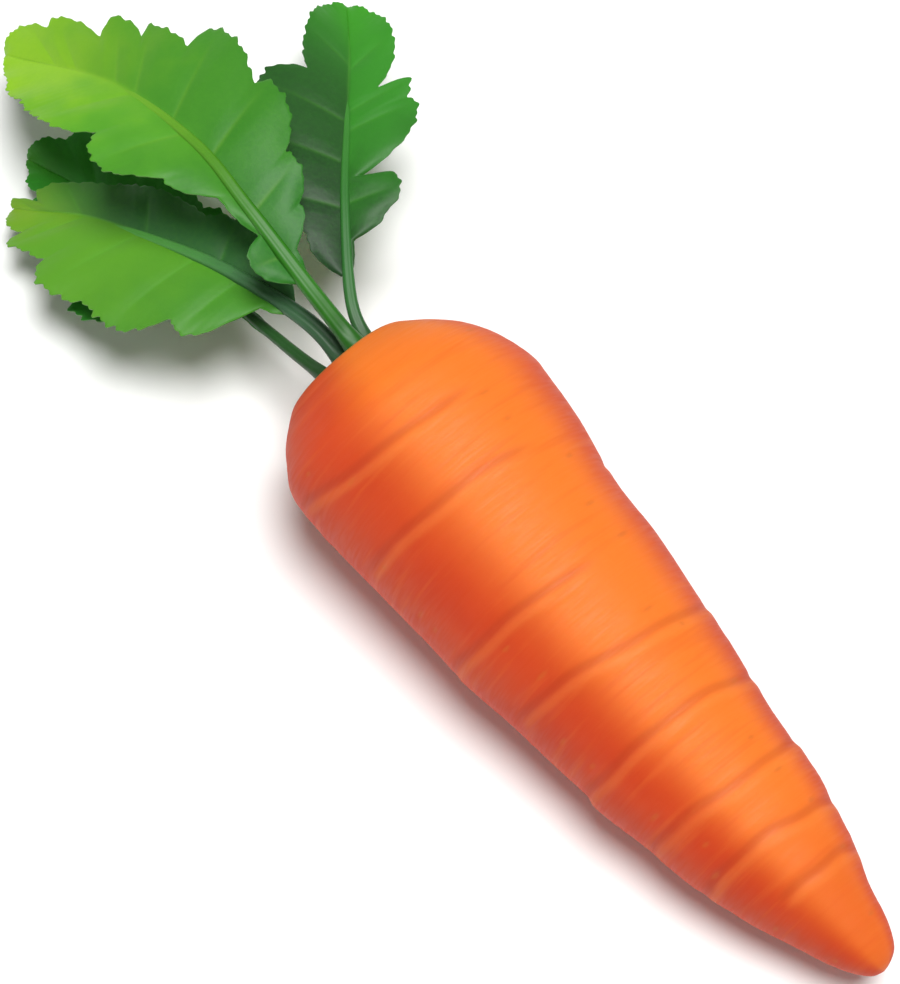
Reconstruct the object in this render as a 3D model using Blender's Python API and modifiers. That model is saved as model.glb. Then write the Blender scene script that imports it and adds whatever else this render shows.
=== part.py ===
"""A picked carrot lying on its side: one tapering root and four leaves.

The root lies along X, crown towards -X and tip towards +X. It leans down towards the tip by the
slope of its own side, so that it rests on a narrow flat along its underside. The origin is on
that flat, at the height of the table, between the two creases nearest to the balance point. Each
leaf is a round stalk, which runs on as the leaf's midrib, and a thin lobed blade that lies in a
shallow trough under the midrib.
"""

import math

import bmesh
import bpy
import numpy as np
from mathutils import Vector

MM = 0.001

# Root: overall sizes.
ROOT_LENGTH = 150 * MM
SHOULDER_DIAMETER = 50 * MM
RESTING_FLAT_DEPTH = 0.4 * MM
LEAN_SPAN = 36 * MM
ROOT_SIDES = 28

# Outline of the root from the lip of the crown to the tip:
# (share of the length, share of the shoulder radius).
ROOT_OUTLINE = (
    (0.002, 0.44), (0.018, 0.57), (0.045, 0.76), (0.090, 0.94), (0.150, 1.00),
    (0.280, 0.94), (0.430, 0.86), (0.570, 0.77), (0.690, 0.65), (0.810, 0.535),
    (0.885, 0.385), (0.945, 0.235), (0.982, 0.125), (1.000, 0.030),
)

# Growth creases: ring grooves with fuller flesh between them, as shares of the root's length.
# The root rests on the flesh between the two creases that RESTING_CREASES counts from the crown.
CREASES = (0.117, 0.220, 0.380, 0.487, 0.600, 0.713, 0.787)
RESTING_CREASES = (3, 4)
CREASE_WIDTH = 2.4 * MM
CREASE_DEPTH = 0.5 * MM

# Dimple in the crown, where the stalks rise.
DIMPLE_FLOOR_RADIUS = 8.5 * MM
DIMPLE_DEPTH = 3.0 * MM

# Leaves: sizes that all four share.
CLEARANCE = 0.35 * MM
BLADE_THICKNESS = 0.8 * MM
BLADE_ROWS = 34
BLADE_COLUMNS = 6
LEAST_REACH = 0.9 * MM
LOBE_ROUNDNESS = 2.4
TIP_ROUNDNESS = 1.25
BASE_VEIN_ANGLE = math.radians(80)
TIP_VEIN_ANGLE = math.radians(12)
VEIN_SWEEP = 1.8
BLADE_FOLD = 0.28
STALK_POINTS = 24
STALK_FLARE = 1.35
STALK_FLARE_LENGTH = 6 * MM

# Each leaf, in millimetres.
# seat: where the stalk stands on the crown, to the side and up from the crown's centre.
# midrib: the stalk and midrib behind the crown, as distance back, to the side, and above the table.
# radii: of the stalk at the crown and of the midrib at its end.
# blade_start and midrib_end: stations along the midrib, from the crown.
# droop: how fast the blade's sides curve down, per millimetre from the midrib.
# left and right: the margin of each half, as pairs of a side vein's station on the midrib and its
# length. Each pair is the crown of a lobe or the bottom of a notch.
LEAVES = {
    "upper_leaf": {
        "seat": (1.5, 3.4),
        "midrib": ((14, 1, 36.5), (32, 1.5, 40.5), (49, 2.5, 39.5), (73, 0.5, 30.5),
                   (96.5, -7.5, 16.5)),
        "radii": (1.9, 0.5),
        "blade_start": 16,
        "midrib_end": 88,
        "droop": 0.012,
        "left": ((16, 1.5), (22, 6.6), (27.5, 1.5), (37, 3.7), (44, 10.5), (54, 17.8), (61, 12.8),
                 (70, 18.8), (80, 16.3), (90.5, 11.6)),
        "right": ((16, 1), (21, 2.5), (26.5, 8.5), (32, 13), (35, 12.7), (46, 19.7), (47.7, 17),
                  (58, 23.5), (61.7, 16.3), (69.3, 17.6), (70.6, 14), (75, 17), (78.5, 10.5),
                  (85.8, 16.4), (88.4, 12.9), (91.5, 15.3), (96, 12.7)),
    },
    "right_leaf": {
        "seat": (4.7, -0.3),
        "midrib": ((9, 7.4, 29), (25, 19, 30), (38, 30, 27), (52, 42, 21.5), (62, 49.5, 17)),
        "radii": (1.4, 0.4),
        "blade_start": 14,
        "midrib_end": 68,
        "droop": 0.012,
        "left": ((14, 1.5), (21, 7.5), (28, 13.5), (31, 12), (38, 19), (41, 17), (48, 20),
                 (54.5, 10.4), (63, 13.4), (73, 8.2)),
        "right": ((14, 0.9), (21, 1.5), (24.5, 7.5), (29, 11), (31.8, 10.2), (34, 3.3),
                  (45.5, 15.2), (47.2, 13), (50.3, 14.4), (52.2, 6.9), (61.5, 12.6), (69.5, 9)),
    },
    "left_leaf": {
        "seat": (-0.4, -2.2),
        "midrib": ((12, -1.2, 27), (31, -6, 25), (49, -12, 18.7), (62, -17, 12.8),
                   (73.5, -24.5, 7)),
        "radii": (2.0, 0.5),
        "blade_start": 15,
        "midrib_end": 71,
        "droop": 0.012,
        "left": ((15, 1), (19.5, 3.3), (27, 16.3), (29.4, 14.5), (37.5, 21.5), (44.3, 19.5),
                 (51.5, 21.4), (57, 16.3), (65, 16.6), (69, 10.6), (73, 9.6)),
        "right": ((15, 1), (22, 6), (32.5, 10.2), (38, 8.3), (50, 11), (58, 9.2), (66, 9.6),
                  (70, 8.2), (73.2, 4.1), (76.5, 6.8)),
    },
    "lower_leaf": {
        "seat": (-5.6, -0.8),
        "midrib": ((10, -6, 22.5), (25, -6.5, 17), (45, -7.5, 10.5), (65, -10, 6), (82, -15, 3)),
        "radii": (1.4, 0.4),
        "blade_start": 17,
        "midrib_end": 73,
        "droop": 0.006,
        "left": ((17, 1), (26, 1.2), (31, 5), (43, 24.5), (47, 20), (54, 21), (58, 15), (66, 15),
                 (70, 11), (79, 6)),
        "right": ((17, 1), (26, 1.2), (31, 6), (42, 13), (46, 11), (56, 15), (60, 12), (69, 15),
                  (72.5, 12), (79, 9)),
    },
}

COLOURS = {
    "root": ((0.86, 0.16, 0.022), 0.42),
    "stalk": ((0.06, 0.20, 0.025), 0.55),
    "blade": ((0.09, 0.31, 0.030), 0.60),
}


def clear_scene():
    for obj in list(bpy.data.objects):
        bpy.data.objects.remove(obj, do_unlink=True)


def new_collection(name):
    collection = bpy.data.collections.new(name)
    bpy.context.scene.collection.children.link(collection)
    return collection


def new_material(name, kind):
    colour, roughness = COLOURS[kind]
    material = bpy.data.materials.new(name)
    material.use_nodes = True
    shader = material.node_tree.nodes["Principled BSDF"]
    shader.inputs["Base Color"].default_value = (*colour, 1.0)
    shader.inputs["Roughness"].default_value = roughness
    shader.inputs["Metallic"].default_value = 0.0
    return material


def add_object(name, data, kind, collection):
    obj = bpy.data.objects.new(name, data)
    collection.objects.link(obj)
    data.materials.append(new_material(name + "_material", kind))
    return obj


def smooth_path(points, per_span):
    """Points on a Catmull-Rom curve through the given ones, which may have 2 or 3 coordinates."""
    points = np.array(points, dtype=float)
    before = np.vstack((2 * points[0] - points[1], points[:-2]))
    after = np.vstack((points[2:], 2 * points[-1] - points[-2]))
    path = []
    for start, end, previous, following in zip(points[:-1], points[1:], before, after):
        start_pull, end_pull = (end - previous) / 2, (following - start) / 2
        for t in np.arange(per_span) / per_span:
            path.append(
                (1 + 2 * t) * (1 - t) ** 2 * start + t * (1 - t) ** 2 * start_pull
                + t * t * (3 - 2 * t) * end + t * t * (t - 1) * end_pull
            )
    path.append(points[-1])
    return np.array(path)


# ---------------------------------------------------------------- root

SHOULDER_RADIUS = SHOULDER_DIAMETER / 2
CREASE_STATIONS = [share * ROOT_LENGTH for share in CREASES]
OUTLINE_SPAN_POINTS = 12
OUTLINE_PATH = smooth_path(ROOT_OUTLINE, OUTLINE_SPAN_POINTS) * (ROOT_LENGTH, SHOULDER_RADIUS)


def plain_radius(station):
    """Radius of the root at a distance from the crown, before the creases are pressed in."""
    return float(np.interp(station, OUTLINE_PATH[:, 0], OUTLINE_PATH[:, 1]))


def creased_radius(station):
    groove = sum(
        math.exp(-((station - crease) / (CREASE_WIDTH / 2)) ** 2) for crease in CREASE_STATIONS
    )
    return plain_radius(station) - CREASE_DEPTH * groove


def resting_pose():
    """The station that stands over the origin, the root's lean there and its axis height there."""
    station = sum(CREASE_STATIONS[count - 1] for count in RESTING_CREASES) / len(RESTING_CREASES)
    half_span = LEAN_SPAN / 2
    fall = plain_radius(station - half_span) - plain_radius(station + half_span)
    lean = math.atan2(fall, LEAN_SPAN)
    height = plain_radius(station) * math.cos(lean) - RESTING_FLAT_DEPTH
    return station, lean, height


RESTING_STATION, LEAN, AXIS_HEIGHT = resting_pose()
TOWARDS_TIP = Vector((math.cos(LEAN), 0, -math.sin(LEAN)))
ROOT_UP = Vector((math.sin(LEAN), 0, math.cos(LEAN)))
RESTING_AXIS_POINT = Vector((plain_radius(RESTING_STATION) * math.sin(LEAN), 0, AXIS_HEIGHT))


def axis_point(station):
    """A point on the root's axis, at a distance from the crown."""
    return RESTING_AXIS_POINT + TOWARDS_TIP * (station - RESTING_STATION)


def root_stations():
    """Stations of the profile: both sides and the bottom of each crease, and the flesh between."""
    first, last = CREASE_STATIONS[0] - CREASE_WIDTH, CREASE_STATIONS[-1] + CREASE_WIDTH
    ends = OUTLINE_PATH[::OUTLINE_SPAN_POINTS // 2, 0]
    stations = [station for station in ends if station < first or station > last]
    for crease in CREASE_STATIONS:
        stations += [crease - CREASE_WIDTH, crease - CREASE_WIDTH / 3, crease,
                     crease + CREASE_WIDTH / 3, crease + CREASE_WIDTH]
    stations += [(a + b) / 2 for a, b in zip(CREASE_STATIONS, CREASE_STATIONS[1:])]
    return sorted(stations)


def make_root(collection, cutters):
    """A profile turned about its axis, with a flat cut where it rests on the table."""
    lip_station = ROOT_OUTLINE[0][0] * ROOT_LENGTH
    profile = [(0.0, DIMPLE_DEPTH), (DIMPLE_FLOOR_RADIUS, DIMPLE_DEPTH)]
    profile.append(((DIMPLE_FLOOR_RADIUS + plain_radius(lip_station)) / 2, DIMPLE_DEPTH / 3))
    profile += [(creased_radius(station), station) for station in root_stations()]
    profile.append((0.0, ROOT_LENGTH))

    mesh = bpy.data.meshes.new("root")
    vertices = [(radius, 0, -station) for radius, station in profile]
    mesh.from_pydata(vertices, [(i, i + 1) for i in range(len(vertices) - 1)], [])
    root = add_object("root", mesh, "root", collection)
    root.location = axis_point(0)
    root.rotation_euler = (0, LEAN - math.pi / 2, 0)

    turning = root.modifiers.new("Turned outline", "SCREW")
    turning.axis = "Z"
    turning.steps = turning.render_steps = ROOT_SIDES
    turning.use_merge_vertices = True
    turning.merge_threshold = 0.01 * MM
    turning.use_smooth_shade = True

    resting = root.modifiers.new("Resting flat", "BOOLEAN")
    resting.operation = "DIFFERENCE"
    resting.object = make_table_cutter(cutters)


def make_table_cutter(cutters):
    """A block whose top is the table, z = 0."""
    thickness = SHOULDER_DIAMETER
    bpy.ops.mesh.primitive_cube_add(size=1, location=(0, 0, -thickness / 2))
    cutter = bpy.context.object
    cutter.name = "table_cutter"
    cutter.scale = (2 * ROOT_LENGTH, 2 * SHOULDER_DIAMETER, thickness)
    cutter.hide_render = True
    cutter.display_type = "WIRE"
    for owner in list(cutter.users_collection):
        owner.objects.unlink(cutter)
    cutters.objects.link(cutter)
    return cutter


# -------------------------------------------------------------- leaves

class Midrib:
    """The line that a leaf's stalk and blade share, measured by distance from the crown's lip."""

    def __init__(self, leaf):
        self.leaf = leaf
        crown = axis_point(0)
        aside, up = (value * MM for value in leaf["seat"])
        floor = axis_point(DIMPLE_DEPTH - CLEARANCE) + ROOT_UP * up + Vector((0, aside, 0))
        lip = floor - TOWARDS_TIP * DIMPLE_DEPTH
        bends = [Vector((crown.x - back * MM, side * MM, height * MM))
                 for back, side, height in leaf["midrib"]]
        self.points = smooth_path([floor, lip, *bends], per_span=16)
        steps = np.linalg.norm(np.diff(self.points, axis=0), axis=1)
        self.stations = np.concatenate(([0.0], np.cumsum(steps))) - (lip - floor).length
        self.length = self.stations[-1]

    def point(self, station):
        return Vector([np.interp(station, self.stations, self.points[:, axis]) for axis in range(3)])

    def directions(self, station):
        """Towards the leaf's tip, towards its right edge, and up from its face."""
        step = 1 * MM
        ahead = min(station + step, self.length)
        behind = max(station - step, self.stations[0])
        forward = (self.point(ahead) - self.point(behind)).normalized()
        right = forward.cross(Vector((0, 0, 1))).normalized()
        return forward, right, right.cross(forward)

    def radius(self, station):
        """A straight taper to the end of the midrib, with a flare where the stalk leaves the crown."""
        base, end = (value * MM for value in self.leaf["radii"])
        end_station = self.leaf["midrib_end"] * MM
        share = np.interp(station, (0, end_station), (0, 1))
        flare = (STALK_FLARE - 1) * np.interp(station, (0, STALK_FLARE_LENGTH), (1, 0)) ** 2
        return (base + (end - base) * share) * (1 + flare)


def make_stalk(name, midrib, collection):
    """A tapered round rod, from the crown to the end of the midrib."""
    curve = bpy.data.curves.new(name, "CURVE")
    curve.dimensions = "3D"
    curve.bevel_depth = 1.0
    curve.bevel_resolution = 2
    curve.use_fill_caps = True
    spline = curve.splines.new("POLY")
    spline.points.add(STALK_POINTS - 1)
    stations = np.linspace(midrib.stations[0], midrib.leaf["midrib_end"] * MM, STALK_POINTS)
    for point, station in zip(spline.points, stations):
        point.co = (*midrib.point(station), 1.0)
        point.radius = midrib.radius(station)
    add_object(name, curve, "stalk", collection)


def margin(pairs, station, tip_station):
    """Length of the side vein that leaves the midrib at a station, out to the lobed edge.

    The edge is round over the crown of each lobe and sharp in the notches between them. The last
    lobe runs almost straight in to the tip.
    """
    stations, reaches = np.array(pairs).T * MM
    stations, reaches = [*stations, tip_station], [*reaches, LEAST_REACH]
    after = min(max(int(np.searchsorted(stations, station)), 1), len(stations) - 1)
    low, high = sorted((after - 1, after), key=lambda index: reaches[index])
    share = (station - stations[low]) / (stations[high] - stations[low])
    share = min(max(share, 0.0), 1.0)
    roundness = TIP_ROUNDNESS if after == len(stations) - 1 else LOBE_ROUNDNESS
    rounded = 1 - (1 - share) ** roundness
    return max(reaches[low] + (reaches[high] - reaches[low]) * rounded, LEAST_REACH)


def blade_point(midrib, along, across):
    """A point of the blade: along runs 0 to 1 to the tip, across -1 to 1, left edge to right."""
    leaf = midrib.leaf
    start = leaf["blade_start"] * MM
    station = start + (midrib.length - start) * along
    forward, right, up = midrib.directions(station)
    angle = BASE_VEIN_ANGLE + (TIP_VEIN_ANGLE - BASE_VEIN_ANGLE) * along ** VEIN_SWEEP
    side = leaf["right"] if across > 0 else leaf["left"]
    reach = margin(side, station, midrib.length) * abs(across)
    sideways = reach * math.sin(angle)
    rise = BLADE_FOLD * sideways - leaf["droop"] / MM * sideways ** 2
    trough = midrib.radius(station) + CLEARANCE + BLADE_THICKNESS / 2
    return (midrib.point(station) - up * trough + forward * reach * math.cos(angle)
            + right * math.copysign(sideways, across) + Vector((0, 0, rise)))


def make_blade(name, midrib, collection):
    """A grid laid along the side veins, given its thickness by Solidify."""
    mesh = bpy.data.meshes.new(name)
    grid = bmesh.new()
    bmesh.ops.create_grid(grid, x_segments=BLADE_ROWS, y_segments=BLADE_COLUMNS, size=1.0)
    for vertex in grid.verts:
        vertex.co = blade_point(midrib, (vertex.co.x + 1) / 2, vertex.co.y)
    grid.to_mesh(mesh)
    grid.free()
    blade = add_object(name, mesh, "blade", collection)
    sheet = blade.modifiers.new("Blade thickness", "SOLIDIFY")
    sheet.thickness = BLADE_THICKNESS
    sheet.offset = 0.0


def main():
    clear_scene()
    carrot = new_collection("carrot")
    cutters = new_collection("cutters")
    make_root(carrot, cutters)
    for name, leaf in LEAVES.items():
        midrib = Midrib(leaf)
        make_stalk(name + "_stalk", midrib, carrot)
        make_blade(name + "_blade", midrib, carrot)


main()
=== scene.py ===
# %% [markdown]
# # A picked carrot, lying on a table
#
# The object is one carrot: a tapering root and four leaves. Each leaf is a stalk that runs on as
# the midrib, and a thin blade with round lobes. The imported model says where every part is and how
# big it is, and this lesson builds the skin, the creases, the veins and the finishes around it.

import math

import bpy
import numpy as np
from mathutils import Matrix, Vector, noise


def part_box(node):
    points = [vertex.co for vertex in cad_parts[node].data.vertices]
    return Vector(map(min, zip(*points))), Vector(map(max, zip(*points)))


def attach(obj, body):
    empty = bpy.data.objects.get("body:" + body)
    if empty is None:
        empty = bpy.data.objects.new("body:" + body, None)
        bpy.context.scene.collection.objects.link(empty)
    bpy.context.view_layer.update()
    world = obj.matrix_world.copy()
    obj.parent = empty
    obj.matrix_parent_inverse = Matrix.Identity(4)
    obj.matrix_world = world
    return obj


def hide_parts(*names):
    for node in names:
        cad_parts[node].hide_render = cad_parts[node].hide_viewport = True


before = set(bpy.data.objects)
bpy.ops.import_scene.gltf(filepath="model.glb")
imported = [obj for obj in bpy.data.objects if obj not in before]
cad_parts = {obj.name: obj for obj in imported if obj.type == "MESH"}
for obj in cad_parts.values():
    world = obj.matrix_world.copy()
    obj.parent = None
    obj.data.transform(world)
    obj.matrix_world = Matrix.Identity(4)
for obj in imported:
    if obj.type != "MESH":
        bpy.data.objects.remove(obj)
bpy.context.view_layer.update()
print("nodes:", sorted(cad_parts))

# %% [markdown]
# ## Where things are
#
# All lengths are in metres, so a millimetre is a small number with a name. The root lies on the
# table and leans down a little towards its tip. Three directions describe it: towards the tip, up
# out of its side, and across. A *station* is a distance along the root from the lip of its crown,
# and an *angle* goes round it from the top, positive towards +Y.

# %% The root's own directions
MM = 0.001
LEAN = math.radians(5.567)
CROWN = Vector((-62.64, 0.0, 27.26)) * MM
TO_TIP = Vector((math.cos(LEAN), 0.0, -math.sin(LEAN)))
ROOT_UP = Vector((math.sin(LEAN), 0.0, math.cos(LEAN)))
ACROSS = Vector((0.0, 1.0, 0.0))

low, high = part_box("root")
print("root, mm:", [round(side / MM, 1) for side in high - low])
print("shoulder radius, mm:", round((high.y - low.y) / 2 / MM, 2))

# %% [markdown]
# ## Small helpers
#
# Modelling by hand is a chain of operators, and an operator acts on whatever is selected. So the
# first helper clears the selection before anything new is added. The others read and write the
# points of a mesh all at once, for the fine shaping that a sculptor would do with a brush.

# %% Selecting, reading and writing
def select_only(obj):
    bpy.ops.object.select_all(action="DESELECT")
    if obj is not None:
        obj.select_set(True)
        bpy.context.view_layer.objects.active = obj


def apply_modifiers(obj):
    select_only(obj)
    for modifier in list(obj.modifiers):
        bpy.ops.object.modifier_apply(modifier=modifier.name)


def read_points(obj):
    points = np.empty(len(obj.data.vertices) * 3)
    obj.data.vertices.foreach_get("co", points)
    return points.reshape(-1, 3)


def write_points(obj, points):
    obj.data.vertices.foreach_set("co", np.ascontiguousarray(points).ravel())
    obj.data.update()


def write_attribute(obj, name, values):
    """One number per point, which a material can read by its name."""
    attribute = obj.data.attributes.new(name, "FLOAT", "POINT")
    attribute.data.foreach_set("value", np.asarray(values, dtype=np.float32))


def smooth_path(points, per_span):
    """Points on a Catmull-Rom curve through the given ones, which may have 2 or 3 coordinates."""
    points = np.array(points, dtype=float)
    before = np.vstack((2 * points[0] - points[1], points[:-2]))
    after = np.vstack((points[2:], 2 * points[-1] - points[-2]))
    path = []
    for start, end, previous, following in zip(points[:-1], points[1:], before, after):
        start_pull, end_pull = (end - previous) / 2, (following - start) / 2
        for t in np.arange(per_span) / per_span:
            path.append(
                (1 + 2 * t) * (1 - t) ** 2 * start + t * (1 - t) ** 2 * start_pull
                + t * t * (3 - 2 * t) * end + t * t * (t - 1) * end_pull
            )
    path.append(points[-1])
    return np.array(path)


def smooth_step(values, start, end):
    """0 before start, 1 after end, and an even ease between them."""
    share = np.clip((values - start) / (end - start), 0.0, 1.0)
    return share * share * (3 - 2 * share)


def bell(distance, width):
    """1 at no distance, falling away evenly on both sides."""
    return np.exp(-(distance / width) ** 2)


print("a bell at 0, 1 and 2 widths:", np.round(bell(np.arange(3.0), 1.0), 3))

# %% [markdown]
# ## The root's body
#
# A carrot root is nearly round all the way down, so it could be turned like a table leg: draw half
# of its outline, and spin it about the axis. Extruding circles one after another would do as well,
# but a spun outline keeps the curve of the shoulder and of the blunt tip in one short list. The
# outline starts in the middle of the dimple in the crown, climbs out over the lip, and ends on the
# axis again at the tip. A Subdivision Surface then gives enough points for the fine relief.

# %% The outline
OUTLINE = (
    (3.0, 0.0), (3.0, 4.2), (2.75, 7.6), (1.8, 9.6), (0.6, 11.0), (0.7, 12.3), (2.7, 14.9),
    (6.6, 19.2), (13.2, 23.4), (22.0, 24.9), (31.0, 24.5), (42.0, 23.5), (64.5, 21.6),
    (85.5, 19.3), (103.5, 16.5), (114.0, 15.0), (121.5, 13.7), (127.0, 12.4), (132.5, 10.5),
    (137.5, 8.7), (141.5, 7.3), (145.0, 5.7), (147.8, 3.9), (149.4, 2.0), (149.9, 0.0),
)
OUTLINE_STEP = 2.0 * MM
SPIN_STEPS = 40


def even_steps(path, step):
    """The same line with points that are all about one step apart."""
    lengths = np.linalg.norm(np.diff(path, axis=0), axis=1)
    travelled = np.concatenate(([0.0], np.cumsum(lengths)))
    wanted = np.linspace(0.0, travelled[-1], round(travelled[-1] / step) + 1)
    return np.stack([np.interp(wanted, travelled, path[:, axis]) for axis in (0, 1)], axis=1)


outline = even_steps(smooth_path(OUTLINE, per_span=12) * MM, OUTLINE_STEP)
outline_points = [CROWN + TO_TIP * station + ROOT_UP * radius for station, radius in outline]
print("points in the outline:", len(outline_points))

# %% Draw the outline and spin it
def draw_line(name, points):
    """A small plane, merged to one point, which is then extruded from place to place."""
    select_only(None)
    bpy.ops.mesh.primitive_plane_add(size=MM, location=points[0])
    obj = bpy.context.object
    obj.name = name
    bpy.ops.object.transform_apply(location=True)
    bpy.ops.object.mode_set(mode="EDIT")
    bpy.ops.mesh.select_all(action="SELECT")
    bpy.ops.mesh.merge(type="CENTER")
    for here, there in zip(points, points[1:]):
        bpy.ops.mesh.extrude_vertices_move(TRANSFORM_OT_translate={"value": there - here})
    return obj


root = draw_line("root_skin", outline_points)
bpy.ops.mesh.select_all(action="SELECT")
bpy.ops.mesh.spin(steps=SPIN_STEPS, angle=2 * math.pi, center=CROWN, axis=TO_TIP)
bpy.ops.mesh.select_all(action="SELECT")
bpy.ops.mesh.remove_doubles(threshold=0.02 * MM)
bpy.ops.mesh.normals_make_consistent(inside=False)
bpy.ops.object.mode_set(mode="OBJECT")

finer = root.modifiers.new("Finer skin", "SUBSURF")
finer.levels = finer.render_levels = 2
apply_modifiers(root)
print("points in the root:", len(root.data.vertices))

# %% [markdown]
# ## Creases, swellings and the bend
#
# A growing root thickens unevenly and leaves shallow creases across it, with fuller flesh between
# them, like the bellows of a concertina. No crease goes all the way round: each one bows or slants
# and fades out. Modelled edge loops would be too regular, so the points are moved in code instead.
# Every crease is a narrow groove with a low lip on its tip side.

# %% Each point's station, angle and radius
DIMPLE_EDGE = (9.5 * MM, 12.5 * MM)
PAST_DIMPLE = (20 * MM, 24 * MM)
NEAR_AXIS = (1.5 * MM, 4.0 * MM)

skin = read_points(root)
from_crown = skin - np.array(CROWN)
station = from_crown @ np.array(TO_TIP)
rise = from_crown @ np.array(ROOT_UP)
aside = from_crown[:, 1]
radius = np.hypot(rise, aside)
angle = np.arctan2(aside, rise)
# 1 on the outer skin, and 0 in the dimple, which has to keep its fit round the stalks.
outside = smooth_step(radius, *DIMPLE_EDGE) + smooth_step(station, *PAST_DIMPLE)
outside = np.minimum(outside, 1.0) * smooth_step(radius, *NEAR_AXIS)
print("stations, mm:", round(station.min() / MM, 1), "to", round(station.max() / MM, 1))

# %% Press the creases in
# Each crease: station on top, bow, slant, groove depth, lip height (mm), then the middle and the
# half width of the arc where it shows (degrees from the top). The wanders are in mm too.
CREASES = (
    (22.6, 3.4, 3.0, 0.18, 0.20, -38, 66),
    (37.0, 1.6, 2.0, 0.16, 0.18, -30, 64),
    (46.0, 0.0, 0.5, 0.30, 0.08, 86, 34),
    (61.0, -0.8, 3.2, 0.22, 0.20, -48, 70),
    (76.4, 0.0, 3.0, 0.22, 0.20, 10, 104),
    (92.4, -0.4, 1.2, 0.26, 0.24, -5, 118),
    (108.0, 0.6, 0.9, 0.26, 0.24, 0, 112),
    (119.0, -0.6, 0.9, 0.22, 0.20, -12, 112),
    (30.0, 1.5, -2.0, 0.28, 0.12, 172, 58),
    (52.5, -1.2, 1.5, 0.30, 0.12, 150, 62),
    (70.0, 1.0, 2.0, 0.28, 0.12, -160, 50),
    (84.5, -1.0, -1.4, 0.30, 0.12, 168, 56),
    (100.0, 0.8, 1.0, 0.28, 0.12, -150, 52),
    (129.0, 0.4, 0.8, 0.20, 0.10, 20, 70),
)
CREASE_TURN = math.radians(14.6)
GROOVE_WIDTH = 1.3 * MM
LIP_WIDTH = 1.9 * MM
LIP_OFFSET = 1.6 * MM
FADE = math.radians(26)
SLOW_WANDER = 0.35
QUICK_WANDER = 0.2
# Where the painted shade in each groove sits, and how wide it is.
GROOVE_SHADE_OFFSET = -0.3 * MM
GROOVE_SHADE_WIDTH = 1.0 * MM
# Where the painted highlight on each lip sits, and how wide it is.
LIP_HIGHLIGHT_OFFSET = 1.5 * MM
LIP_HIGHLIGHT_WIDTH = 1.1 * MM


def turn_from(middle):
    """How far round the root each point is from this angle, the short way, in radians."""
    return (angle - middle + math.pi) % (2 * math.pi) - math.pi


def crease_presence(middle, half_width):
    """1 along the middle of the crease's arc, falling to 0 at its ends."""
    away = np.abs(turn_from(math.radians(middle)))
    return 1.0 - smooth_step(away, math.radians(half_width) - FADE, math.radians(half_width))


groove_depth = np.zeros(len(skin))
painted_groove_shade = np.zeros(len(skin))
painted_lip_highlight = np.zeros(len(skin))
for top, bow, slant, depth, lip, middle, half_width in CREASES:
    turned = angle + CREASE_TURN
    line = top + bow * (np.cos(turned) - 1) + slant * np.sin(turned)
    wander = SLOW_WANDER * np.sin(3 * angle + top) + QUICK_WANDER * np.sin(7 * angle + 2 * top)
    beyond = station - (line + wander) * MM
    here = crease_presence(middle, half_width) * outside
    groove_depth += here * MM * (depth * bell(beyond, GROOVE_WIDTH)
                                 - lip * bell(beyond - LIP_OFFSET, LIP_WIDTH))
    in_groove = bell(beyond - GROOVE_SHADE_OFFSET, GROOVE_SHADE_WIDTH)
    on_lip = bell(beyond - LIP_HIGHLIGHT_OFFSET, LIP_HIGHLIGHT_WIDTH)
    painted_groove_shade = np.maximum(painted_groove_shade, here * in_groove)
    painted_lip_highlight = np.maximum(painted_lip_highlight, here * on_lip)
print("deepest crease, mm:", round(groove_depth.max() / MM, 2))

# %% Swell, wrinkle and bend the flesh
SWELL = 0.28 * MM
WRINKLE = 0.05 * MM
FINE_WRINKLE = 0.025 * MM
# How much fuller the two flanks are than a turned root, as (station, left, right) in mm.
FULLNESS = (
    (0, 2.4, -1.2), (5, 2.2, -0.9), (8.5, 1.8, -0.4), (12, 1.8, -0.1), (15.5, 1.3, 0.5),
    (19.5, 0.7, 1.2), (23, 0.4, 1.6), (27, 0.1, 1.3), (37, 0.2, 1.1), (45, 0.4, 0.5),
    (52, 0.5, 0.05), (62, 0.7, 0.6), (74, 0.2, 0.2), (88, 0.1, 0.35), (96, 1.1, 0.2),
    (105, 0.5, 0.45), (116, 0.45, 0.85), (122, 0, 0.35), (130, -0.4, 0.35), (136, -0.8, 0),
    (143, -0.6, 0.6), (150, -0.3, 0.7),
)
# How far the axis bends towards +Y, as (station, offset) in mm.
BEND = ((0, 0.0), (20, 0.0), (60, -0.25), (95, -0.35), (120, 0.0), (138, 0.5), (150, 1.3))


def uneven(along_scale, round_scale, seed):
    """Soft noise over the skin. The scales are how far it takes to change, in metres."""
    ring = np.stack((station / along_scale, skin[:, 1] / round_scale,
                     rise / round_scale), axis=1) + seed
    return np.array([noise.noise(Vector(place)) for place in ring])


def along_root(stations, values):
    return np.interp(station, stations, values)


bulge = SWELL * uneven(13 * MM, 34 * MM, seed=3.1)
wrinkles = WRINKLE * uneven(1.7 * MM, 9 * MM, seed=7.7)
wrinkles += FINE_WRINKLE * uneven(0.9 * MM, 5 * MM, seed=12.3)
full_at, left_fullness, right_fullness = smooth_path(FULLNESS, per_span=6).T * MM
fullness = np.where(angle < 0, along_root(full_at, left_fullness),
                    along_root(full_at, right_fullness)) * np.sin(angle) ** 2
relief = outside * (bulge + wrinkles + fullness) - groove_depth
bend = along_root(*smooth_path(BEND, per_span=6).T * MM)
new_radius = radius + relief
shaped = (np.array(CROWN) + station[:, None] * np.array(TO_TIP)
          + (new_radius * np.cos(angle))[:, None] * np.array(ROOT_UP)
          + (new_radius * np.sin(angle) + bend)[:, None] * np.array(ACROSS))
print("relief, mm:", round(relief.min() / MM, 2), "to", round(relief.max() / MM, 2))
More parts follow.
